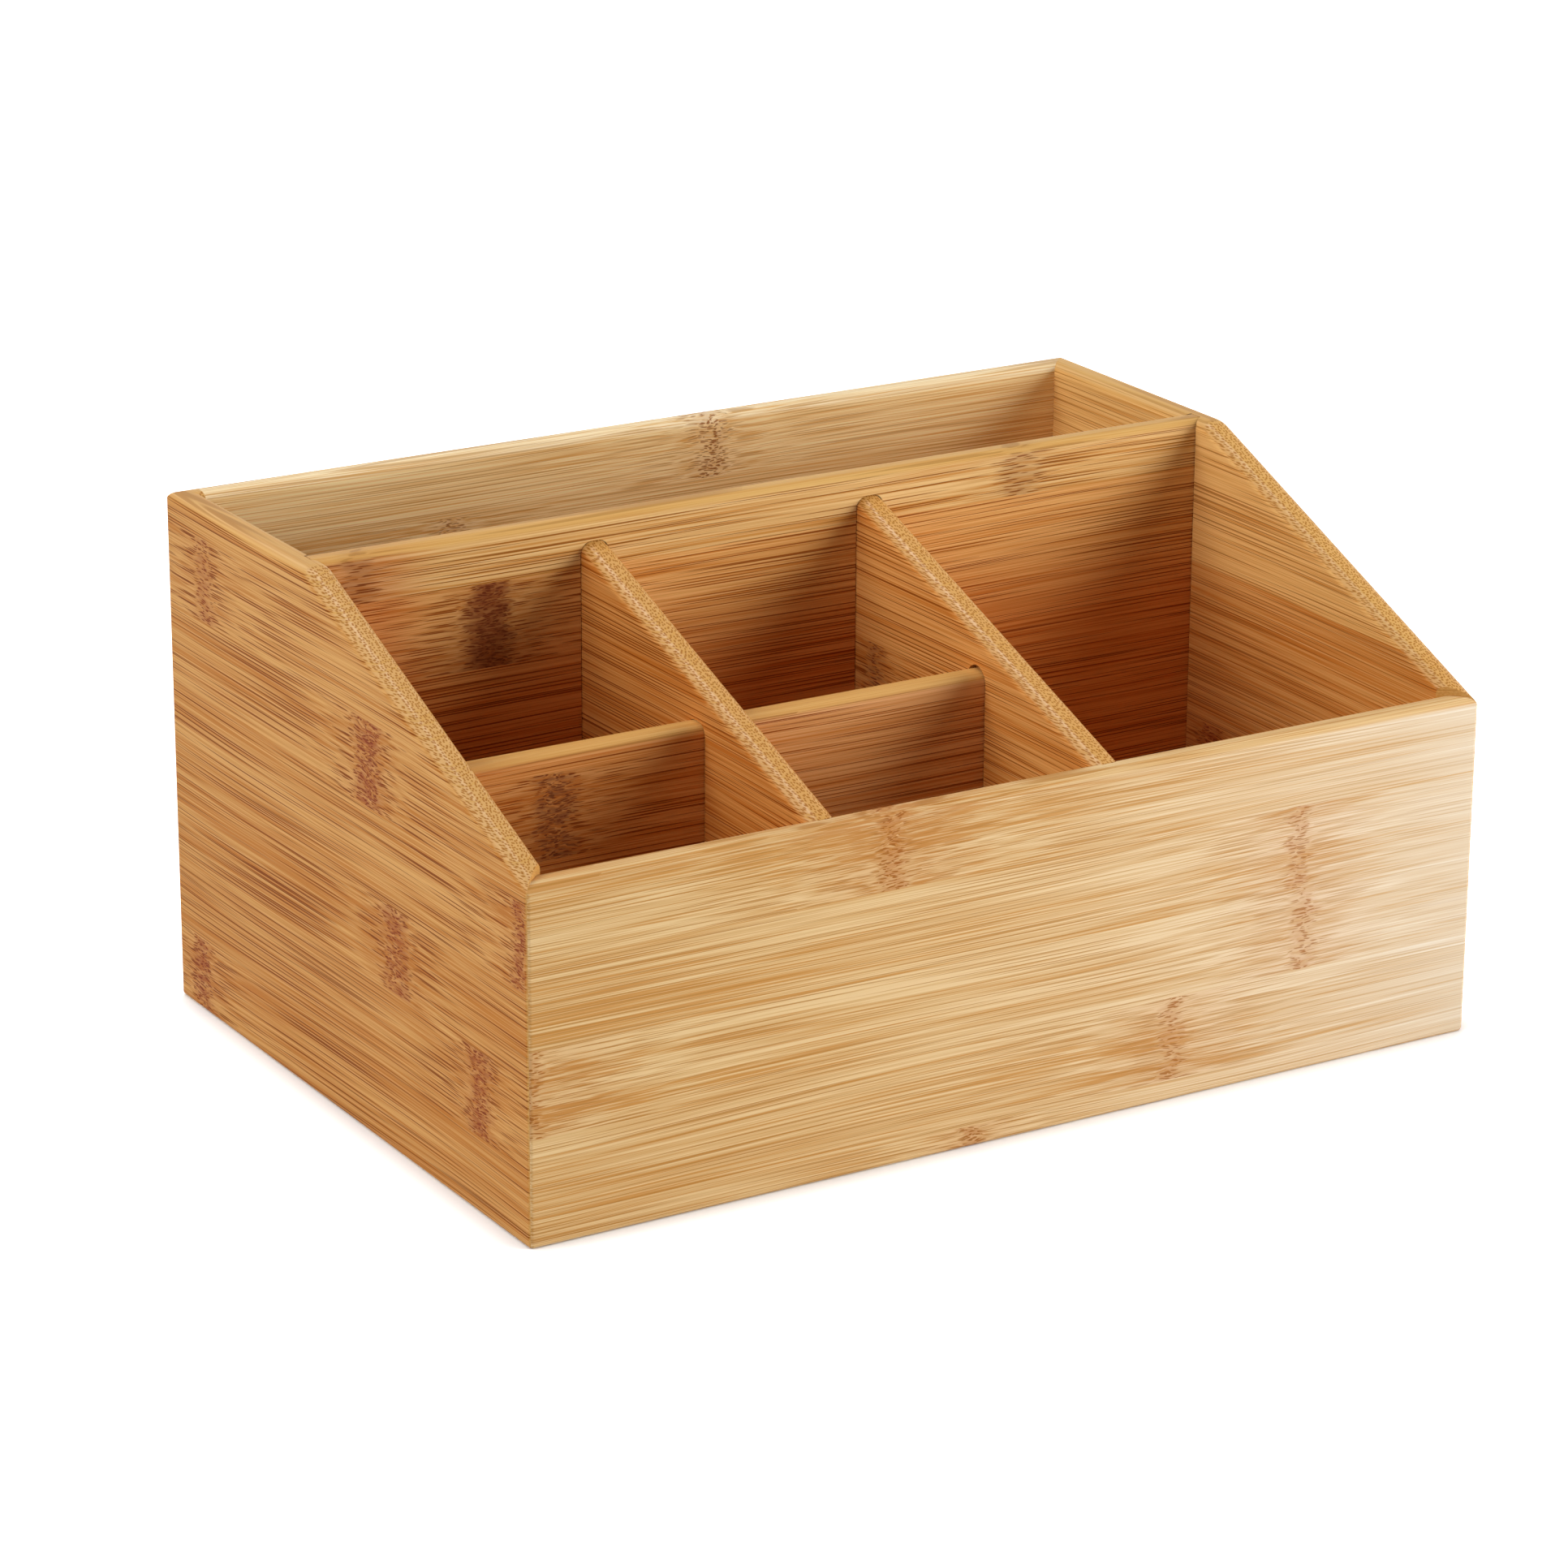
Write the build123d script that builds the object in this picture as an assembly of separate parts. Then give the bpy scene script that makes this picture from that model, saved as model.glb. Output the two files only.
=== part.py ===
"""Open desk organizer built up from flat bamboo boards.

Four outer walls stand round a base panel.  The two sides drop in a straight slope
from a level crest to the lower front panel.  A tall partition closes off a long rear
bay, two sloping dividers make three front bays, and a low cross divider halves the
left and the middle one.  Every inner board sits in housings cut into its neighbours.

Frame: millimetres, +Z up, origin on the table under the centre, front towards -Y.
"""
from build123d import *
import os

# Outside of the organizer
width = 280.0
depth = 195.0
height = 140.0             # sides, back panel and rear partition
front_height = 92.5        # front panel, and the foot of each side's slope
crest_length = 80.5        # level part of a side's top, measured from the back
crest_radius = 12.0        # bend between the level top and the slope

# Board thicknesses
wall = 8.0                 # front, back and side panels
partition_board = 8.0
divider_board = 8.0
cross_board = 8.0
base_board = 4.0

# Bays
rear_bay = 61.0            # back panel to rear partition
left_bay = 72.5            # left side to left divider
middle_bay = 75.0          # left divider to right divider
front_bay = 47.5           # front panel to the cross dividers
divider_height = 133.5     # top of a divider where it meets the partition
cross_height = 102.5       # top of the cross dividers
base_lift = 3.0            # underside of the base panel above the table

# Edges
top_round = 3.0            # both long upper edges of every board
arris_round = 1.2          # outer upright corners and the outer bottom edges

# Joints
housing = 3.0              # depth of the housings in the walls and the partition
cross_housing = 2.0        # depth of the housings for the cross dividers
groove = 4.0               # depth of the groove that holds the base panel
fit = 0.2                  # clearance all round a board in its housing or groove

# Places that follow from the sizes above
outer_x = width / 2
outer_y = depth / 2
inner_x = outer_x - wall
inner_y = outer_y - wall
floor = base_lift + base_board
partition_back = inner_y - rear_bay
partition_front = partition_back - partition_board
left_divider_x = -inner_x + left_bay
right_divider_x = left_divider_x + divider_board + middle_bay
cross_front = -inner_y + front_bay


def plan(corners):
    """A prism over a plan outline, tall enough to cut any board along it."""
    return extrude(make_face(Polyline(*corners, close=True)), height * 2)


def board(corners, plane, thickness, clearance=0.0):
    """A flat board: an outline on a plane, centred on it, with rounded upper edges.

    With a clearance it is the same board grown all round, which cuts its housing.
    """
    face = make_face(Polyline(*corners, close=True))
    if clearance:
        face = offset(face, clearance, kind=Kind.INTERSECTION)
    full = thickness + 2 * clearance
    blank = extrude(plane * face, full / 2, both=True)
    long_edges = blank.edges().filter_by(lambda edge: edge.length > full + 1)
    return fillet(long_edges.sort_by(Axis.Z)[-2:], top_round + clearance)


def along_x(x_from, x_to, y_front, top, thickness, clearance=0.0):
    """A level board that runs left to right and stands on the base panel."""
    plane = Plane.XZ.offset(-(y_front + thickness / 2))
    corners = [(x_from, floor), (x_to, floor), (x_to, top), (x_from, top)]
    return board(corners, plane, thickness, clearance)


def partition(clearance=0.0):
    """The rear partition, let into both sides and level with their tops."""
    reach = inner_x + housing - fit
    return along_x(-reach, reach, partition_front, height, partition_board, clearance)


def divider(x_left, clearance=0.0):
    """A sloping divider, let into the front panel and the partition."""
    start = -inner_y - housing
    rise = (divider_height - front_height) / (partition_front - start)
    front_end = start + fit
    back_end = partition_front + housing - fit
    front_top = front_height + rise * (front_end - start)
    back_top = front_height + rise * (back_end - start)
    plane = Plane.YZ.offset(x_left + divider_board / 2)
    corners = [(front_end, floor), (back_end, floor), (back_end, back_top), (front_end, front_top)]
    return board(corners, plane, divider_board, clearance)


def cross_divider(x_from, x_to, clearance=0.0):
    """A low divider across a bay whose faces stand at x_from and x_to."""
    reach = cross_housing - fit
    return along_x(x_from - reach, x_to + reach, cross_front, cross_height, cross_board, clearance)


def round_housing(x_from, x_to):
    """The housings of a cross divider, with the full round end that a cutter leaves."""
    half = cross_board / 2 + fit
    centre = cross_height - top_round
    profile = Rectangle(2 * half, centre - floor, align=(Align.CENTER, Align.MAX)) + Circle(half)
    middle = Pos((x_from + x_to) / 2, cross_front + cross_board / 2, centre)
    reach = (x_to - x_from) / 2 + cross_housing
    return extrude(middle * (Plane.YZ * profile), reach, both=True)


def upper_walls():
    """Both sides and the back as one U, with the slope, the crest and rounded tops."""
    crest_y = outer_y - crest_length
    outline = Polyline(
        (-outer_y, 0),
        (outer_y, 0),
        (outer_y, height),
        (crest_y, height),
        (-outer_y, front_height),
        close=True,
    )
    face = make_face(outline)
    crest = face.vertices().filter_by(lambda point: abs(point.X - crest_y) < 0.01)
    face = fillet(crest, crest_radius)
    block = extrude(Plane.YZ * face, outer_x, both=True)
    inside = Pos(0, -wall, height / 2) * Box(2 * inner_x, depth, height * 2)
    shell = block - inside
    tops = shell.edges().filter_by(lambda edge: edge.center().Z > front_height + 0.01)
    long_tops = tops.filter_by(lambda edge: abs(edge.tangent_at(0.5).X) < 0.5 or edge.length > 2 * wall)
    return fillet(long_tops, top_round)


def envelope():
    """The outside block with its upright corners and its bottom edges eased."""
    block = Pos(0, 0, height / 2) * Box(width, depth, height)
    block = fillet(block.edges().filter_by(Axis.Z), arris_round)
    return fillet(block.faces().sort_by(Axis.Z)[0].edges(), arris_round)


def base_groove():
    """The groove that runs round the inside of the walls."""
    size_x = 2 * (inner_x + groove)
    size_y = 2 * (inner_y + groove)
    return Pos(0, 0, base_lift + base_board / 2) * Box(size_x, size_y, base_board + 2 * fit)


def front_wall():
    """The front panel before its mitres are cut."""
    corners = [(-outer_x, 0), (outer_x, 0), (outer_x, front_height), (-outer_x, front_height)]
    return board(corners, Plane.XZ.offset(outer_y - wall / 2), wall)


# Outer corners and inner corners of the walls, seen from above
front_left = (-outer_x, -outer_y)
front_right = (outer_x, -outer_y)
back_right = (outer_x, outer_y)
back_left = (-outer_x, outer_y)
inner_front_left = (-inner_x, -inner_y)
inner_front_right = (inner_x, -inner_y)
inner_back_right = (inner_x, inner_y)
inner_back_left = (-inner_x, inner_y)
left_back_end = (-inner_x, outer_y)     # the left side runs past the back panel's end

# Cutters shared by several boards
outside = envelope()
walls = upper_walls()
base_slot = base_groove()
partition_slot = partition(fit)
left_divider_slot = divider(left_divider_x, fit)
right_divider_slot = divider(right_divider_x, fit)
left_cross_slot = cross_divider(-inner_x, left_divider_x, fit)
middle_cross_slot = round_housing(left_divider_x + divider_board, right_divider_x)

# Walls
front_panel = front_wall() & plan([front_left, front_right, inner_front_right, inner_front_left])
front_panel = (front_panel & outside) - base_slot - left_divider_slot - right_divider_slot

left_side_panel = walls & plan([front_left, inner_front_left, left_back_end, back_left])
left_side_panel = (left_side_panel & outside) - base_slot - partition_slot - left_cross_slot

right_side_panel = walls & plan([front_right, back_right, inner_back_right, inner_front_right])
right_side_panel = (right_side_panel & outside) - base_slot - partition_slot

back_panel = walls & plan([left_back_end, inner_back_left, inner_back_right, back_right])
back_panel = (back_panel & outside) - base_slot

# Boards inside
base_reach = groove - fit
base_panel = Pos(0, 0, base_lift + base_board / 2) * Box(
    2 * (inner_x + base_reach), 2 * (inner_y + base_reach), base_board
)
rear_partition = partition() - left_divider_slot - right_divider_slot
left_divider = divider(left_divider_x) - left_cross_slot - middle_cross_slot
right_divider = divider(right_divider_x) - middle_cross_slot
left_cross_divider = cross_divider(-inner_x, left_divider_x)
middle_cross_divider = cross_divider(left_divider_x + divider_board, right_divider_x)

pieces = {
    "front_panel": front_panel,
    "back_panel": back_panel,
    "left_side_panel": left_side_panel,
    "right_side_panel": right_side_panel,
    "base_panel": base_panel,
    "rear_partition": rear_partition,
    "left_divider": left_divider,
    "right_divider": right_divider,
    "left_cross_divider": left_cross_divider,
    "middle_cross_divider": middle_cross_divider,
}

os.makedirs("parts", exist_ok=True)
for name, shape in pieces.items():
    export_step(shape, f"parts/{name}.step")
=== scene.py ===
"""Bamboo desk organizer: varnished bamboo boards, pale floor, soft studio light."""

import math

import bpy
from mathutils import Matrix, Vector

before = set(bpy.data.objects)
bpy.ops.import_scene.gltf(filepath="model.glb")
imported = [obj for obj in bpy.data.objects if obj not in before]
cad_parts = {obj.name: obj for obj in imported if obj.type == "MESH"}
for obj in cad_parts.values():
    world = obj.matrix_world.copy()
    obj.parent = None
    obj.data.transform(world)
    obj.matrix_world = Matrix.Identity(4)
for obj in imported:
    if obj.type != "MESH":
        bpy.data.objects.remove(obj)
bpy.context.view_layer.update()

# ---------------------------------------------------------------- camera

CAMERA_AZIMUTH = math.radians(31.19)      # to the left of the front panel's normal
CAMERA_ELEVATION = math.radians(19.14)
CAMERA_ROLL = math.radians(0.31)
CAMERA_DISTANCE = 1.411
CAMERA_AIM = Vector((-0.00732, 0.00593, 0.06368))
NEAREST_SEEN = 0.05
FARTHEST_SEEN = 20.0
SENSOR_WIDTH = 36.0                       # mm, as is the focal length
FOCAL_LENGTH = 123.48


def make_camera():
    """Places the camera by azimuth, elevation, roll and distance from its aim."""
    look = Vector((
        math.sin(CAMERA_AZIMUTH) * math.cos(CAMERA_ELEVATION),
        math.cos(CAMERA_AZIMUTH) * math.cos(CAMERA_ELEVATION),
        -math.sin(CAMERA_ELEVATION),
    ))
    level = Vector((math.cos(CAMERA_AZIMUTH), -math.sin(CAMERA_AZIMUTH), 0.0))
    upright = level.cross(look)
    right = math.cos(CAMERA_ROLL) * level + math.sin(CAMERA_ROLL) * upright
    up = math.cos(CAMERA_ROLL) * upright - math.sin(CAMERA_ROLL) * level
    data = bpy.data.cameras.new("camera")
    data.sensor_width = SENSOR_WIDTH
    data.lens = FOCAL_LENGTH
    data.clip_start = NEAREST_SEEN
    data.clip_end = FARTHEST_SEEN
    camera = bpy.data.objects.new("camera", data)
    place = Matrix((right, up, -look)).transposed().to_4x4()
    place.translation = CAMERA_AIM - CAMERA_DISTANCE * look
    camera.matrix_world = place
    bpy.context.scene.collection.objects.link(camera)
    bpy.context.scene.camera = camera


# ---------------------------------------------------------------- node helpers

SOCKET_KINDS = {
    "value": "NodeSocketFloat",
    "vector": "NodeSocketVector",
    "colour": "NodeSocketColor",
}


def add(tree, kind, sockets=None, **settings):
    """Adds a node, sets its settings, then links or fills the inputs it is given."""
    made = tree.nodes.new(kind)
    for name, value in settings.items():
        setattr(made, name, value)
    for key, value in (sockets or {}).items():
        if isinstance(value, bpy.types.NodeSocket):
            tree.links.new(value, made.inputs[key])
        else:
            made.inputs[key].default_value = value
    return made


def placed(tree, group, sockets):
    """A node group placed in tree with its inputs linked or filled; its outputs."""
    return add(tree, "ShaderNodeGroup", sockets, node_tree=group).outputs


def new_group(name, inputs, outputs):
    """An empty shader node group. inputs: name -> (kind, default); outputs: name -> kind."""
    tree = bpy.data.node_groups.new(name, "ShaderNodeTree")
    for label, (kind, default) in inputs.items():
        socket = tree.interface.new_socket(
            name=label, in_out="INPUT", socket_type=SOCKET_KINDS[kind])
        socket.default_value = default
    for label, kind in outputs.items():
        tree.interface.new_socket(
            name=label, in_out="OUTPUT", socket_type=SOCKET_KINDS[kind])
    given = tree.nodes.new("NodeGroupInput").outputs
    result = tree.nodes.new("NodeGroupOutput").inputs
    return tree, given, result


def maths(tree, operation, *values, clamp=False):
    """One Math node; its output."""
    return add(tree, "ShaderNodeMath", dict(enumerate(values)),
               operation=operation, use_clamp=clamp).outputs[0]


def times(tree, first, second):
    """The product of two values."""
    return maths(tree, "MULTIPLY", first, second)


def mixed_in(tree, value, factor, base):
    """value times factor, plus base."""
    return maths(tree, "MULTIPLY_ADD", value, factor, base)


def centred(tree, value):
    """A value from 0 to 1 moved to -0.5 to 0.5."""
    return maths(tree, "SUBTRACT", value, 0.5)


def ramp(tree, value, low, high, start=0.0, end=1.0):
    """A smooth step from start at low to end at high; low may be the larger."""
    if low > high:
        low, high, start, end = high, low, end, start
    return add(tree, "ShaderNodeMapRange", {0: value, 1: low, 2: high, 3: start, 4: end},
               interpolation_type="SMOOTHSTEP").outputs[0]


def blend(tree, amount, first, second):
    """first where amount is 0, second where it is 1, for two values."""
    return add(tree, "ShaderNodeMix", {0: amount, 2: first, 3: second},
               data_type="FLOAT").outputs[0]


def tint(tree, amount, first, second, mode="MIX"):
    """first where amount is 0, second laid over it where it is 1, for two colours."""
    return add(tree, "ShaderNodeMix", {0: amount, 6: first, 7: second},
               data_type="RGBA", blend_type=mode).outputs[2]


def dyed(tree, colour, factors):
    """A colour with its red, green and blue each multiplied by its own factor."""
    return tint(tree, 1.0, colour, factors, "MULTIPLY")


def opaque(colour):
    """Red, green and blue with the fourth number that a colour socket takes."""
    return (*colour, 1.0)


def noise(tree, vector, detail=0.0, roughness=0.5):
    """Noise of about one cell per unit of vector, 0 to 1, mostly near 0.5."""
    return add(tree, "ShaderNodeTexNoise",
               {"Vector": vector, "Scale": 1.0, "Detail": detail,
                "Roughness": roughness}).outputs["Fac"]


def dots(tree, vector, randomness=1.0):
    """Flat Voronoi cells of about one unit: each cell's distance from its middle, and colour."""
    return add(tree, "ShaderNodeTexVoronoi",
               {"Vector": vector, "Scale": 1.0, "Randomness": randomness},
               feature="F1", voronoi_dimensions="2D").outputs


def triple(tree, x, y, z):
    """A vector made of three values."""
    return add(tree, "ShaderNodeCombineXYZ", {0: x, 1: y, 2: z}).outputs[0]


def parts(tree, vector):
    """The three values of a vector."""
    return add(tree, "ShaderNodeSeparateXYZ", {0: vector}).outputs


def scaled(tree, vector, factors):
    """A vector with each part multiplied by its own factor."""
    return add(tree, "ShaderNodeVectorMath", {0: vector, 1: factors},
               operation="MULTIPLY").outputs[0]


def shifted(tree, vector, offset):
    """The sum of two vectors."""
    return add(tree, "ShaderNodeVectorMath", {0: vector, 1: offset},
               operation="ADD").outputs[0]


# ---------------------------------------------------------------- bamboo

STRIP_WIDTH = 22.4              # mm, the width of one glued strip

# wood colours, as linear red, green and blue
SANDED = (0.69, 0.385, 0.105)   # the yellower wood of sanded edges and cut ends
PAINTED_SHEEN_COLOUR = (0.78, 0.64, 0.47)   # painted sheen: the pale colour that a lamp's sheen on a board is painted as
BROWN_BARK = (0.26, 0.085, 0.028)
BLACK_BARK = (0.20, 0.045, 0.010)
RED_BARK = (0.32, 0.060, 0.015)
GOLD_BARK = (0.50, 0.17, 0.030)
TAN_BARK = (0.42, 0.14, 0.035)

# factors on the red, green and blue of the wood under them
FLUSHED = (0.85, 0.67, 0.62)    # the redder end of a board
PALE = (1.15, 1.28, 1.50)       # pale fibres
DEEP = (0.86, 0.66, 0.42)       # dark fibres
MOUTH = (0.58, 0.38, 0.16)      # the open pores of a cut end
PIT = (0.70, 0.62, 0.55)        # the pits of a culm node

# a pattern's cells: per mm along the grain, per mm of Rush, per mm of Knot, per mm across
# the strips and per mm through the board
BAND_CELLS = (0.0030, 0.0, 0.02, 0.16, 0.12)
STREAK_CELLS = (0.0055, 0.030, 0.18, 0.80, 0.60)
FIBRE_CELLS = (0.0160, 0.070, 0.25, 2.80, 2.20)
BUNDLE_CELLS = (0.0080, 0.050, 0.45, 1.80, 0.40)
BUNDLE_SLANT = 0.4              # radians that the rows of bundles lean through the board
LOT_SHIFT = (60.0, 0.0, 60.0)   # how far one strip's pattern may lie from the next one's

# cells per mm along the grain, across the strips and through the board
RAGGED_CELLS = (0.08, 0.30, 0.3)
WANDER_CELLS = (0.007, 0.03, 0.05)
BEND_CELLS = (0.12, 0.30, 0.3)
WANDER = 4.0                    # mm that the grain wanders across the board
BEND = 2.4                      # mm that a culm node pushes the grain aside
PORES_ACROSS = 2.6              # pores per mm of a cut end, across the strips
PORES_THROUGH = 1.35            # and through the board
PORE_RANDOMNESS = 0.8

# how much each pattern counts in the tone, and the tone that is fully pale or deep
STREAK_WEIGHT = 1.1
FIBRE_WEIGHT = 3.0
STRIP_WEIGHT = 0.3
FULL_TONE = 0.62
NODE_CONTRAST = 0.5             # contrast that the wood near a culm node has on top
PAINTED_SHEEN_CALM = -0.7              # what a full painted sheen does to the strength of the grain
BUNDLE_GIRTH = -0.22            # cells that the stoutest bundle reaches beyond the thinnest
NODE_GIRTH = 0.4                # girth that the bundles of a culm node have on top
CURL_FIBRES = 0.7               # the fibres' share in the curls of a culm node

# where a mask starts and where it is full
CORE_REACH = (1.6, 0.3)         # in half widths from the middle of a culm node
NEAR_REACH = (1.0, 0.0)         # in spreads from it
LINE_RIM = (0.20, 0.02)         # in cells from the middle of a bundle, less its girth
PIT_RIM = (0.16, -0.02)
PORE_RIM = (0.44, 0.20)         # in cells from the middle of a pore
BARK_CURLS = (-0.12, 0.10)      # in the tone of the curls
PALE_CURLS = (-0.08, -0.22)

# how strongly a colour is laid over the one under it
SANDED_DYE = 0.75
SANDED_BLUR = 0.6
GLINT_DYE = 0.8
PIT_DYE = 0.8
PORE_DYE = 0.85

ROUGHNESS = 0.40
STREAK_ROUGHNESS = 0.25
LINE_DEPTH = -0.5               # a dark line's height, where the fibres span about 1
PORE_DULLING = -0.85            # what a pore or a dark line takes from the sheen

PAINTED_SHADE_HEIGHTS = (120.0, 88.0)    # mm up the board where the painted shade begins and is full
NO_STEP = -200.0                # mm, a height below every board
PLAIN = (1.0, 1.0, 1.0)


def make_ragged_group():
    """Shakes a place along the grain by a noise of its height, so that a cut-off is ragged."""
    tree, given, result = new_group(
        "ragged ends",
        {"Place": ("vector", (0, 0, 0)), "Reach": ("value", 12.0)},
        {"Place": "vector"})
    shake = noise(tree, scaled(tree, given["Place"], RAGGED_CELLS), detail=3.0, roughness=0.7)
    shake = times(tree, centred(tree, shake), given["Reach"])
    tree.links.new(shifted(tree, given["Place"], triple(tree, shake, 0.0, 0.0)),
                   result["Place"])
    return tree


def make_node_mark_group():
    """One culm node on one strip, added to the ones before it. Core is 1 within Width of
    Along and within the strip's height, and Near falls from 1 to 0 at Spread. Rush and Knot
    are distances in mm that grow quickly as Along is passed, over Spread and over Width: a
    pattern whose place along the grain has them added is short there and long elsewhere."""
    tree, given, result = new_group(
        "node mark",
        {"Place": ("vector", (0, 0, 0)), "Ragged": ("vector", (0, 0, 0)),
         "Along": ("value", 0.0), "Low": ("value", 0.0), "High": ("value", 20.0),
         "Width": ("value", 3.0), "Spread": ("value", 30.0), "Strength": ("value", 1.0),
         "Core": ("value", 0.0), "Near": ("value", 0.0), "Rush": ("value", 0.0),
         "Knot": ("value", 0.0)},
        {"Core": "value", "Near": "value", "Rush": "value", "Knot": "value"})
    height = parts(tree, given["Place"])[1]
    above = maths(tree, "GREATER_THAN", height, given["Low"])
    below = maths(tree, "LESS_THAN", height, given["High"])
    inside = times(tree, times(tree, above, below), given["Strength"])
    away = maths(tree, "SUBTRACT", parts(tree, given["Ragged"])[0], given["Along"])

    def hump(reach, start, full):
        """0 beyond start times reach of the node, rising to 1 at full times reach."""
        far = maths(tree, "DIVIDE", maths(tree, "ABSOLUTE", away), reach)
        return times(tree, ramp(tree, far, start, full), inside)

    def passed(reach):
        """A distance that rises from -reach to reach around the node."""
        turn = maths(tree, "TANH", maths(tree, "DIVIDE", away, reach))
        return times(tree, times(tree, turn, reach), inside)

    core = hump(given["Width"], *CORE_REACH)
    near = hump(given["Spread"], *NEAR_REACH)
    rush = passed(given["Spread"])
    knot = passed(given["Width"])
    tree.links.new(maths(tree, "MAXIMUM", core, given["Core"]), result["Core"])
    tree.links.new(maths(tree, "MAXIMUM", near, given["Near"]), result["Near"])
    tree.links.new(maths(tree, "ADD", rush, given["Rush"]), result["Rush"])
    tree.links.new(maths(tree, "ADD", knot, given["Knot"]), result["Knot"])
    return tree


def ground_colour(tree, given, across):
    """The wood before its grain: another colour below Step, a painted shade low on the board,
    then flushed, paled by a painted sheen, stained round a node and yellowed on sanded edges."""
    low = maths(tree, "LESS_THAN", across, given["Step"])
    ground = tint(tree, low, given["Ground"], given["Low ground"])
    # painted shade: the lower part of a board darker and redder
    foot = ramp(tree, across, *PAINTED_SHADE_HEIGHTS)
    ground = tint(tree, foot, ground, given["Painted shade"], "MULTIPLY")
    ground = tint(tree, given["Flush"], ground, opaque(FLUSHED), "MULTIPLY")
    # painted sheen: a lamp's sheen painted as paler wood
    ground = tint(tree, given["Painted sheen"], ground, opaque(PAINTED_SHEEN_COLOUR))
    stained = times(tree, given["Near"], given["Stain"])
    ground = tint(tree, stained, ground, given["Bark"])
    solid = times(tree, given["Core"], given["Solid"])
    ground = tint(tree, solid, ground, given["Bark"])
    return tint(tree, times(tree, given["Edge"], SANDED_DYE), ground, opaque(SANDED))


def cut_end(tree, ground, across, through):
    """The colour of wood cut across its grain, and a mask of the pores in it."""
    cells = triple(tree, times(tree, across, PORES_ACROSS),
                   times(tree, through, PORES_THROUGH), 0.0)
    pores = ramp(tree, dots(tree, cells, PORE_RANDOMNESS)["Distance"], *PORE_RIM)
    mouth = dyed(tree, ground, opaque(MOUTH))
    return tint(tree, times(tree, pores, PORE_DYE), ground, mouth), pores


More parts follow.
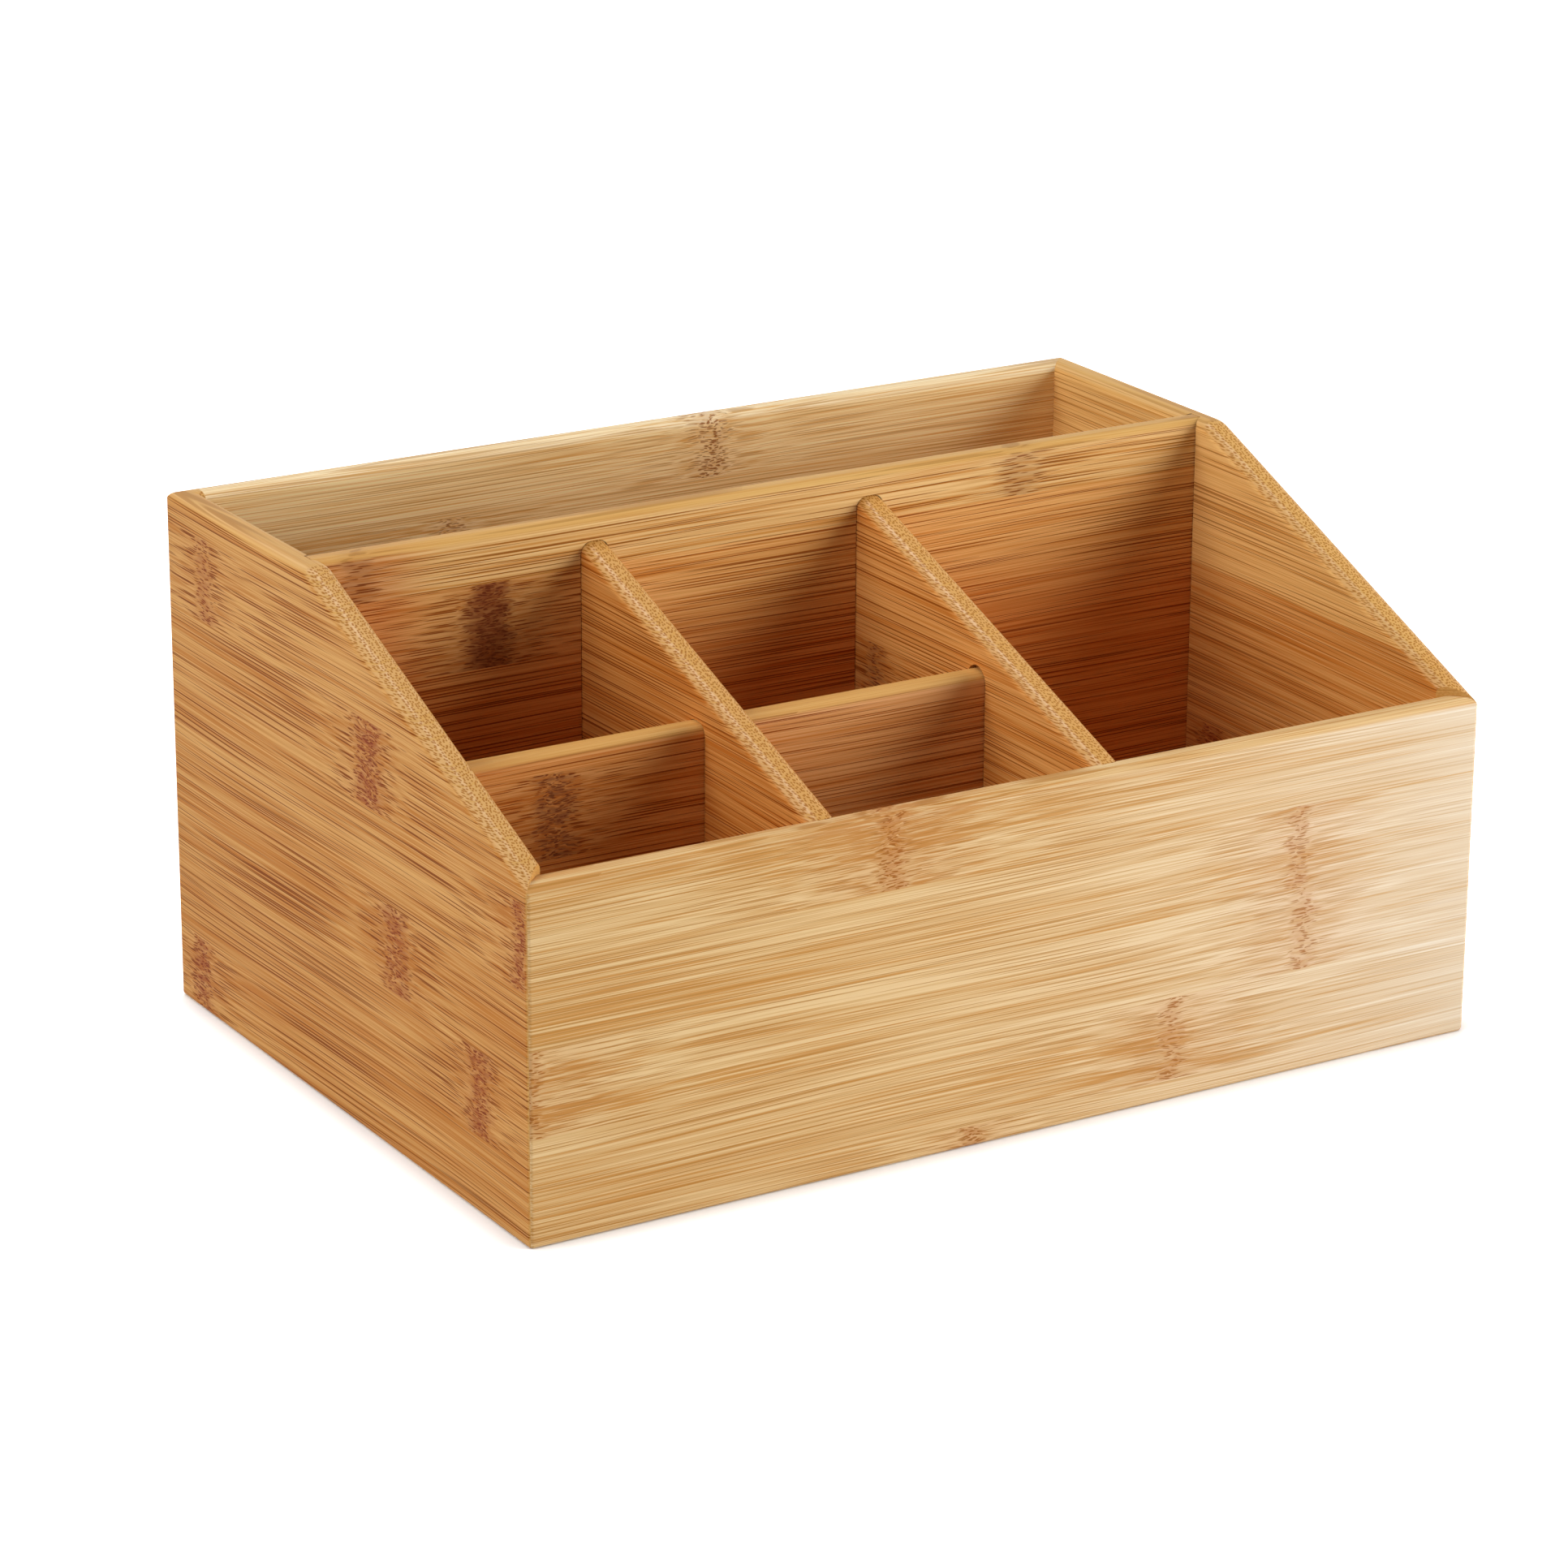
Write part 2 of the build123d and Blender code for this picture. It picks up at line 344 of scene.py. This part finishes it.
def make_bamboo_group():
    """Solid bamboo. Place is in mm: along the grain, across the strips, through the board.
    Every noise is drawn out along the grain, so that faces that follow the grain show
    streaks and cut ends show dots. Rush and Knot make the streaks short near a node. Gloss
    is how much of the varnish's sheen is left, which is little over pores and dark lines."""
    tree, given, result = new_group(
        "bamboo grain",
        {"Place": ("vector", (0, 0, 0)), "Strip offset": ("value", 0.0),
         "Seed": ("value", 0.0), "Core": ("value", 0.0), "Near": ("value", 0.0),
         "Rush": ("value", 0.0), "Knot": ("value", 0.0), "End": ("value", 0.0),
         "Edge": ("value", 0.0), "Ground": ("colour", opaque(SANDED)),
         "Low ground": ("colour", opaque(SANDED)), "Step": ("value", NO_STEP),
         "Painted shade": ("colour", opaque(PLAIN)), "Flush": ("value", 0.0),
         "Painted sheen": ("value", 0.0), "Bark": ("colour", opaque(BROWN_BARK)),
         "Stain": ("value", 0.0), "Solid": ("value", 0.0), "Blots": ("value", 0.8),
         "Bands": ("value", 1.0), "Contrast": ("value", 1.0), "Lines": ("value", 0.7),
         "Line tint": ("colour", (0.5, 0.3, 0.2, 1.0))},
        {"Color": "colour", "Roughness": "value", "Height": "value", "Gloss": "value"})
    along, across, through = parts(tree, given["Place"])
    strip = maths(tree, "SUBTRACT", across, given["Strip offset"])
    strip = maths(tree, "FLOOR", maths(tree, "DIVIDE", strip, STRIP_WIDTH))
    lot = add(tree, "ShaderNodeTexWhiteNoise",
              {"W": maths(tree, "ADD", strip, given["Seed"])},
              noise_dimensions="1D").outputs["Color"]
    strip_tone = add(tree, "ShaderNodeSeparateColor", {0: lot}).outputs[1]
    lot_place = scaled(tree, lot, LOT_SHIFT)

    # the grain wanders slowly along the board and is pushed aside at a node
    wander = noise(tree, scaled(tree, given["Place"], WANDER_CELLS))
    wander = times(tree, centred(tree, wander), WANDER)
    bend = noise(tree, scaled(tree, given["Place"], BEND_CELLS))
    bend = times(tree, centred(tree, bend), times(tree, given["Core"], BEND))
    grain_across = maths(tree, "ADD", across, maths(tree, "ADD", wander, bend))

    def drawn_out(cells):
        """The strip's own place, counted in a pattern's cells."""
        stretch, rush, knot, width, depth = cells
        run = times(tree, along, stretch)
        run = mixed_in(tree, given["Rush"], rush, run)
        run = mixed_in(tree, given["Knot"], knot, run)
        place = triple(tree, run, times(tree, grain_across, width),
                       times(tree, through, depth))
        return shifted(tree, place, lot_place)

    bands = centred(tree, noise(tree, drawn_out(BAND_CELLS), detail=1.0))
    streaks = centred(tree, noise(tree, drawn_out(STREAK_CELLS), detail=2.0, roughness=0.75))
    fibres = centred(tree, noise(tree, drawn_out(FIBRE_CELLS), detail=1.0, roughness=0.6))

    # fibre bundles: long cells of different girth, stouter in a node
    slanted = add(tree, "ShaderNodeVectorRotate",
                  {"Vector": drawn_out(BUNDLE_CELLS), "Angle": BUNDLE_SLANT},
                  rotation_type="X_AXIS").outputs[0]
    bundle = dots(tree, slanted)
    girth = add(tree, "ShaderNodeSeparateColor", {0: bundle["Color"]}).outputs[0]
    girth = mixed_in(tree, given["Core"], NODE_GIRTH, girth)
    bundles = mixed_in(tree, girth, BUNDLE_GIRTH, bundle["Distance"])

    ground = ground_colour(tree, given, across)
    pale = dyed(tree, ground, opaque(PALE))
    deep = dyed(tree, ground, opaque(DEEP))
    dark = dyed(tree, ground, given["Line tint"])

    # the grain: pale and deep fibres, and the bundles as dark lines
    tone = times(tree, bands, given["Bands"])
    tone = mixed_in(tree, streaks, STREAK_WEIGHT, tone)
    tone = mixed_in(tree, fibres, FIBRE_WEIGHT, tone)
    tone = mixed_in(tree, centred(tree, strip_tone), STRIP_WEIGHT, tone)
    # a painted sheen also weakens the grain, as a lamp's sheen would
    sheen_calm = mixed_in(tree, given["Painted sheen"], PAINTED_SHEEN_CALM, 1.0)
    contrast = mixed_in(tree, given["Near"], NODE_CONTRAST, given["Contrast"])
    tone = times(tree, tone, times(tree, contrast, sheen_calm))
    line = times(tree, ramp(tree, bundles, *LINE_RIM), times(tree, given["Lines"], sheen_calm))
    colour = tint(tree, ramp(tree, tone, 0.0, FULL_TONE), ground, pale)
    colour = tint(tree, ramp(tree, tone, 0.0, -FULL_TONE), colour, deep)
    colour = tint(tree, line, colour, dark)

    # a node: curls of bark and of pale fibre, with the mouths of the bundles as dark pits
    curl = mixed_in(tree, fibres, CURL_FIBRES, streaks)
    bark = times(tree, ramp(tree, curl, *BARK_CURLS), given["Core"])
    colour = tint(tree, times(tree, bark, given["Blots"]), colour, given["Bark"])
    glint = times(tree, ramp(tree, curl, *PALE_CURLS), given["Core"])
    colour = tint(tree, times(tree, glint, GLINT_DYE), colour, pale)
    pits = times(tree, ramp(tree, bundles, *PIT_RIM), given["Core"])
    pit = dyed(tree, given["Bark"], opaque(PIT))
    colour = tint(tree, times(tree, pits, PIT_DYE), colour, pit)

    # sanding blurs the grain, and a cut end shows pores in its place
    colour = tint(tree, times(tree, given["Edge"], SANDED_BLUR), colour, ground)
    cut, pores = cut_end(tree, ground, grain_across, through)
    colour = tint(tree, given["End"], colour, cut)
    dull = maths(tree, "MAXIMUM", line, times(tree, pores, given["End"]))
    tree.links.new(colour, result["Color"])
    tree.links.new(mixed_in(tree, streaks, STREAK_ROUGHNESS, ROUGHNESS), result["Roughness"])
    tree.links.new(mixed_in(tree, line, LINE_DEPTH, fibres), result["Height"])
    tree.links.new(mixed_in(tree, dull, PORE_DULLING, 1.0), result["Gloss"])
    return tree


ragged_group = make_ragged_group()
mark_group = make_node_mark_group()
bamboo_group = make_bamboo_group()

# ---------------------------------------------------------------- boards

# What a board has where BOARDS doesn't say otherwise. grain and through are the axes along
# the grain and through the board, offset is the height in mm where one strip starts, and
# marks are culm nodes: along, low, high, half width and spread in mm, and strength.
# low_ground is the colour below step. The dye on the lower part is painted shade, darker
# and redder where the boards stand deep in the bays. flush is the places along the grain
# where it starts to redden and is red. The paling along the grain of the wide faces, with
# where it starts and is palest and how much, is a painted sheen. outer colours the face
# that looks along through; where a board has it, its ground on the other faces is
# brightened as painted light. The colour for the edge that looks up is a painted highlight.
# stain, solid and blots are how much bark colours a node's surroundings, the node and its
# curls. bands, contrast and lines are how strong the broad bands, the whole grain and the
# dark lines are, and line_tint is the dye of those lines. sanded is how much the edges
# yellow, and gloss the part of the varnish's sheen that the board keeps.
USUAL = dict(
    bark=BROWN_BARK, stain=0.2, solid=0.0, blots=0.8, bands=1.0, contrast=1.25, lines=0.95,
    line_tint=(0.42, 0.22, 0.06), step=NO_STEP, foot=PLAIN, sanded=1.0, gloss=1.0, marks=(),
    low_ground=None, outer=None, top=None, flush=None, painted_sheen=None)

BOARDS = {
    "front_panel": dict(
        grain="x", through="y", offset=5.7, seed=3.0, ground=(0.745, 0.475, 0.205),
        bark=GOLD_BARK, stain=0.3, blots=0.55, bands=1.4, contrast=1.15, lines=0.8,
        # its wide faces pale towards the right end: a painted sheen
        line_tint=(0.70, 0.50, 0.26), sanded=0.0, painted_sheen=(-140.0, 140.0, 0.9),
        marks=(
            (-39.0, 72.9, 99.0, 3.4, 38.0, 1.0), (83.6, 50.5, 72.9, 3.0, 32.0, 0.7),
            (86.0, 28.1, 50.5, 3.2, 32.0, 0.7), (-139.0, 28.1, 50.5, 2.5, 36.0, 0.8),
            (46.0, 5.7, 28.1, 3.0, 34.0, 0.7), (-15.0, -9.0, 5.7, 3.0, 20.0, 0.9))),
    "left_side_panel": dict(
        grain="y", through="x", offset=20.3, seed=11.0, ground=(0.625, 0.300, 0.084),
        bark=RED_BARK, stain=0.15, line_tint=(0.36, 0.14, 0.0),
        marks=(
            (75.5, 109.9, 132.3, 5.0, 34.0, 0.6), (-16.5, 87.5, 109.9, 6.0, 24.0, 1.0),
            (-93.5, 65.1, 87.5, 3.0, 26.0, 0.9), (-29.5, 42.7, 65.1, 5.5, 24.0, 0.8),
            (-72.5, 20.3, 42.7, 5.0, 20.0, 0.9), (83.5, -9.0, 20.3, 4.5, 20.0, 0.9))),
    "right_side_panel": dict(
        grain="y", through="x", offset=10.7, seed=23.0, ground=(0.800, 0.435, 0.132),
        low_ground=(0.700, 0.320, 0.084), step=100.3, bark=RED_BARK, contrast=1.1,
        lines=0.7, gloss=0.8,
        marks=(
            (8.5, 33.1, 55.5, 4.0, 22.0, 0.9), (66.0, 77.9, 100.3, 4.0, 26.0, 0.8),
            (-60.0, 10.7, 33.1, 4.0, 24.0, 0.8), (44.0, -9.0, 10.7, 4.0, 24.0, 0.8))),
    "back_panel": dict(
        # the ground, on the inner face and edges, is brightened as painted light; outer is the
        # panel's own colour, and top a painted highlight on its top edge
        grain="x", through="y", offset=11.0, seed=37.0, ground=(0.930, 0.645, 0.285),
        outer=(0.740, 0.430, 0.160), top=(0.900, 0.660, 0.360), bark=TAN_BARK, stain=0.1,
        blots=0.3, bands=0.4, contrast=1.1, lines=0.6, line_tint=(0.60, 0.42, 0.24),
        sanded=0.0, gloss=0.15,
        marks=(
            (19.0, 123.0, 149.0, 5.0, 26.0, 1.0), (-61.0, 100.6, 123.0, 4.0, 26.0, 0.9),
            (70.0, 55.8, 78.2, 4.0, 30.0, 0.8), (-30.0, 33.4, 55.8, 4.0, 30.0, 0.8),
            (110.0, 78.2, 100.6, 4.0, 30.0, 0.8), (-108.0, 11.0, 33.4, 4.0, 30.0, 0.8))),
    "base_panel": dict(
        grain="x", through="z", offset=5.0, seed=41.0, ground=(0.640, 0.310, 0.100),
        contrast=1.0, lines=0.6,
        marks=(
            (-90.0, -39.8, -17.4, 4.0, 26.0, 0.8), (40.0, 27.4, 49.8, 4.0, 26.0, 0.8),
            (95.0, -84.6, -62.2, 4.0, 26.0, 0.8))),
    "rear_partition": dict(
        grain="x", through="y", offset=15.0, seed=53.0, ground=(0.760, 0.455, 0.165),
        # painted shade: the partition darker and redder low down, deep in the bays
        low_ground=(0.720, 0.350, 0.100), step=127.0, foot=(0.88, 0.58, 0.40),
        flush=(-98.0, -118.0), bark=BLACK_BARK, stain=0.35, solid=0.65, bands=0.6,
        gloss=0.8,
        marks=(
            (-123.0, 127.0, 149.0, 4.0, 16.0, 0.3), (-86.4, 104.6, 127.0, 5.5, 30.0, 1.0),
            (75.0, 127.0, 149.0, 6.0, 28.0, 0.25))),
    "left_divider": dict(
        grain="y", through="x", offset=13.0, seed=67.0, ground=(0.655, 0.285, 0.072),
        # painted shade low on the divider
        foot=(1.0, 0.88, 0.76)),
    "right_divider": dict(
        grain="y", through="x", offset=6.4, seed=71.0, ground=(0.735, 0.325, 0.083),
        marks=((10.5, 73.6, 96.0, 4.0, 18.0, 0.6),)),
    "left_cross_divider": dict(
        grain="x", through="y", offset=7.9, seed=83.0, ground=(0.690, 0.305, 0.089),
        # painted shade low on the cross divider
        foot=(0.98, 0.92, 0.83), stain=0.25,
        marks=((-102.0, 75.1, 97.5, 5.0, 24.0, 1.0),)),
    "middle_cross_divider": dict(
        grain="x", through="y", offset=3.0, seed=97.0, ground=(0.680, 0.305, 0.098)),
}

MM_PER_METRE = 1000.0
FACE_VARNISH = 0.03             # coat weight on the wide faces
EDGE_VARNISH = 0.42             # added to it on rounded edges
END_VARNISH = 0.60              # and on cut ends
LEVEL_SHEEN = 0.3               # the part of the varnish's sheen that level tops keep
VARNISH_ROUGHNESS = 0.4
WOOD_SPECULAR = 0.06
GRAIN_HEIGHT = 0.0001           # m
GRAIN_RELIEF = 0.35

# The part of a face's normal along one axis of the board, where a mask starts and is full.
WIDE_FACE = (0.75, 0.98)        # outward, on the two wide faces
CORNER_CUT = (0.74, 0.60)       # outward, where a rounding turns away from them
SLOPE = (0.25, 0.45)            # upward, on the sloping edges
ACROSS_GRAIN = (0.10, 0.20)     # along the grain, on faces that cut across it
TOP_EDGE = (0.2, 0.6)           # upward, on the top edge, where a painted highlight goes
LEVEL = (0.85, 0.97)            # upward, on level tops


def culm_nodes(tree, place, marks):
    """All the culm nodes of a board: their Core, Near, Rush and Knot."""
    ragged = placed(tree, ragged_group, {"Place": place})["Place"]
    node = {"Core": 0.0, "Near": 0.0, "Rush": 0.0, "Knot": 0.0}
    for along, low, high, width, spread, strength in marks:
        chained = placed(tree, mark_group, {
            "Place": place, "Ragged": ragged, "Along": along, "Low": low,
            "High": high, "Width": width, "Spread": spread, "Strength": strength, **node})
        node = {key: chained[key] for key in node}
    return node


def painted_sheen_fade(tree, place, flat, start, finish, amount):
    """A painted sheen: a paling of the wide faces that grows with the cube of the way along the
    board.
    """
    gone = maths(tree, "SUBTRACT", parts(tree, place)[0], start)
    gone = maths(tree, "DIVIDE", gone, finish - start, clamp=True)
    gone = times(tree, maths(tree, "POWER", gone, 3.0), amount)
    return times(tree, gone, ramp(tree, flat, *WIDE_FACE))


def flushing(tree, place, start, finish):
    """A reddening of one end of a board, from start along the grain to finish."""
    return ramp(tree, parts(tree, place)[0], start, finish)


def board_material(name):
    """Varnished bamboo for one board, with its grain along the board's own axis."""
    board = {**USUAL, **BOARDS[name]}
    across_axis = ({"x", "y", "z"} - {board["grain"], board["through"]}).pop()
    order = ["xyz".index(axis) for axis in (board["grain"], across_axis, board["through"])]
    material = bpy.data.materials.new("varnished bamboo " + name)
    material.use_nodes = True
    tree = material.node_tree
    shader = tree.nodes["Principled BSDF"]
    coordinate = add(tree, "ShaderNodeTexCoord").outputs
    own = parts(tree, coordinate["Object"])
    facing = parts(tree, coordinate["Normal"])
    place = scaled(tree, triple(tree, *(own[axis] for axis in order)), (MM_PER_METRE,) * 3)
    grainwise, upward, outward = (facing[axis] for axis in order)
    flat = maths(tree, "ABSOLUTE", outward)

    # edge is 1 on rounded edges, end where a sloping edge or an end cuts across the grain
    edge = ramp(tree, flat, *WIDE_FACE, 1.0, 0.0)
    sloping = ramp(tree, maths(tree, "ABSOLUTE", upward), *SLOPE)
    end = maths(tree, "MAXIMUM", sloping, ramp(tree, flat, *CORNER_CUT))
    end = times(tree, end, ramp(tree, maths(tree, "ABSOLUTE", grainwise), *ACROSS_GRAIN))

    # the painted sheen, on boards that have one
    painted_sheen = painted_sheen_fade(tree, place, flat, *board["painted_sheen"]) if board["painted_sheen"] else 0.0
    flush = flushing(tree, place, *board["flush"]) if board["flush"] else 0.0
    ground = opaque(board["ground"])
    # painted light: the ground is brightened for the inward faces, and outer is the face's own
    # colour where it looks out
    if board["outer"]:
        outside = maths(tree, "GREATER_THAN", outward, 0.5)
        ground = tint(tree, outside, ground, opaque(board["outer"]))
    # painted highlight on the edge that looks up
    if board["top"]:
        ground = tint(tree, ramp(tree, upward, *TOP_EDGE), ground, opaque(board["top"]))
    grain = placed(tree, bamboo_group, {
        "Place": place, "Strip offset": board["offset"], "Seed": board["seed"],
        "End": end, "Edge": times(tree, edge, board["sanded"]), "Ground": ground,
        "Low ground": opaque(board["low_ground"] or board["ground"]),
        "Step": board["step"], "Painted shade": opaque(board["foot"]), "Flush": flush,
        "Painted sheen": painted_sheen, "Bark": opaque(board["bark"]), "Stain": board["stain"],
        "Solid": board["solid"], "Blots": board["blots"], "Bands": board["bands"],
        "Contrast": board["contrast"], "Lines": board["lines"],
        "Line tint": opaque(board["line_tint"]),
        **culm_nodes(tree, place, board["marks"])})
    relief = add(tree, "ShaderNodeBump", {
        "Height": grain["Height"], "Distance": GRAIN_HEIGHT, "Strength": GRAIN_RELIEF})
    coat = mixed_in(tree, edge, EDGE_VARNISH, FACE_VARNISH)
    coat = mixed_in(tree, end, END_VARNISH, coat)
    coat = times(tree, coat, board["gloss"])
    coat = times(tree, coat, grain["Gloss"])
    coat = times(tree, coat, ramp(tree, facing[2], *LEVEL, 1.0, LEVEL_SHEEN))
    tree.links.new(grain["Color"], shader.inputs["Base Color"])
    tree.links.new(grain["Roughness"], shader.inputs["Roughness"])
    tree.links.new(relief.outputs[0], shader.inputs["Normal"])
    tree.links.new(coat, shader.inputs["Coat Weight"])
    shader.inputs["Specular IOR Level"].default_value = WOOD_SPECULAR
    shader.inputs["Coat Roughness"].default_value = VARNISH_ROUGHNESS
    return material


for board_name in BOARDS:
    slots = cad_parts[board_name].data.materials
    slots.clear()
    slots.append(board_material(board_name))


# ---------------------------------------------------------------- floor, world, lamps

FLOOR_REACH = 3.0               # m, from the middle to each side
FLOOR_GREY = 0.86
CONTACT_REACH = 0.012           # m, how far out the shadow line under the boards shows
CONTACT_SAMPLES = 16
CONTACT_DEPTH = 2.0             # the power that deepens it
SKY_STRENGTH = 0.05             # the world's light on the object
WHITE = 1.0                     # and its strength where it is seen or mirrored
LAMP_AIM = Vector((0.0, 0.0, 0.05))

# degrees to the right of the front, degrees up, metres away, metres wide, and what a white
# surface that faces the lamp would be lit to
LAMPS = {
    "front right lamp": (47.0, 13.0, 1.3, 0.75, 0.91),
    "left lamp": (-90.0, 31.0, 1.6, 0.9, 0.55),
    "back lamp": (-165.0, 46.0, 1.6, 0.9, 0.20),
    "overhead lamp": (175.0, 70.0, 1.2, 0.34, 0.25),
    "front left lamp": (-31.0, 36.0, 1.6, 0.9, 0.045),
}


def make_floor():
    """A square sheet of floor at table height, seen as white except where shadow falls."""
    mesh = bpy.data.meshes.new("floor")
    corners = [(-FLOOR_REACH, -FLOOR_REACH, 0.0), (FLOOR_REACH, -FLOOR_REACH, 0.0),
               (FLOOR_REACH, FLOOR_REACH, 0.0), (-FLOOR_REACH, FLOOR_REACH, 0.0)]
    mesh.from_pydata(corners, [], [(0, 1, 2, 3)])
    floor = bpy.data.objects.new("floor", mesh)
    bpy.context.scene.collection.objects.link(floor)
    material = bpy.data.materials.new("white floor")
    material.use_nodes = True
    tree = material.node_tree
    tree.nodes.remove(tree.nodes["Principled BSDF"])
    output = tree.nodes["Material Output"]
    matt = add(tree, "ShaderNodeBsdfDiffuse", {"Color": opaque((FLOOR_GREY,) * 3)})
    near = add(tree, "ShaderNodeAmbientOcclusion", {"Distance": CONTACT_REACH},
               samples=CONTACT_SAMPLES)
    glow = add(tree, "ShaderNodeEmission",
               {"Strength": maths(tree, "POWER", near.outputs["AO"], CONTACT_DEPTH)})
    lit = add(tree, "ShaderNodeAddShader", {0: matt.outputs[0], 1: glow.outputs[0]})
    path = add(tree, "ShaderNodeLightPath").outputs
    seen = add(tree, "ShaderNodeMixShader",
               {0: path["Is Camera Ray"], 1: matt.outputs[0], 2: lit.outputs[0]})
    tree.links.new(seen.outputs[0], output.inputs["Surface"])
    mesh.materials.append(material)


def make_world():
    """White where it is seen or mirrored, and an even soft light on everything else."""
    world = bpy.data.worlds.new("studio")
    bpy.context.scene.world = world
    world.use_nodes = True
    tree = world.node_tree
    background = tree.nodes["Background"]
    background.inputs["Color"].default_value = (1.0, 1.0, 1.0, 1.0)
    path = add(tree, "ShaderNodeLightPath").outputs
    seen = maths(tree, "MAXIMUM", path["Is Camera Ray"], path["Is Glossy Ray"])
    seen = maths(tree, "MAXIMUM", seen, path["Is Transmission Ray"])
    tree.links.new(blend(tree, seen, SKY_STRENGTH, WHITE), background.inputs["Strength"])


def add_lamp(name, azimuth, elevation, distance, size, level):
    """A soft square lamp, not itself seen, that shines on the middle of the object."""
    turn, rise = math.radians(azimuth), math.radians(elevation)
    place = LAMP_AIM + distance * Vector((
        math.sin(turn) * math.cos(rise), -math.cos(turn) * math.cos(rise), math.sin(rise)))
    data = bpy.data.lights.new(name, "AREA")
    data.shape = "SQUARE"
    data.size = size
    data.energy = level * (math.pi * distance) ** 2
    lamp = bpy.data.objects.new(name, data)
    facing = (LAMP_AIM - place).to_track_quat("-Z", "Y").to_matrix().to_4x4()
    lamp.matrix_world = Matrix.Translation(place) @ facing
    lamp.visible_camera = False
    bpy.context.scene.collection.objects.link(lamp)


make_camera()
make_floor()
make_world()
for lamp_name, lamp_settings in LAMPS.items():
    add_lamp(lamp_name, *lamp_settings)
bpy.context.scene.view_settings.view_transform = "Standard"
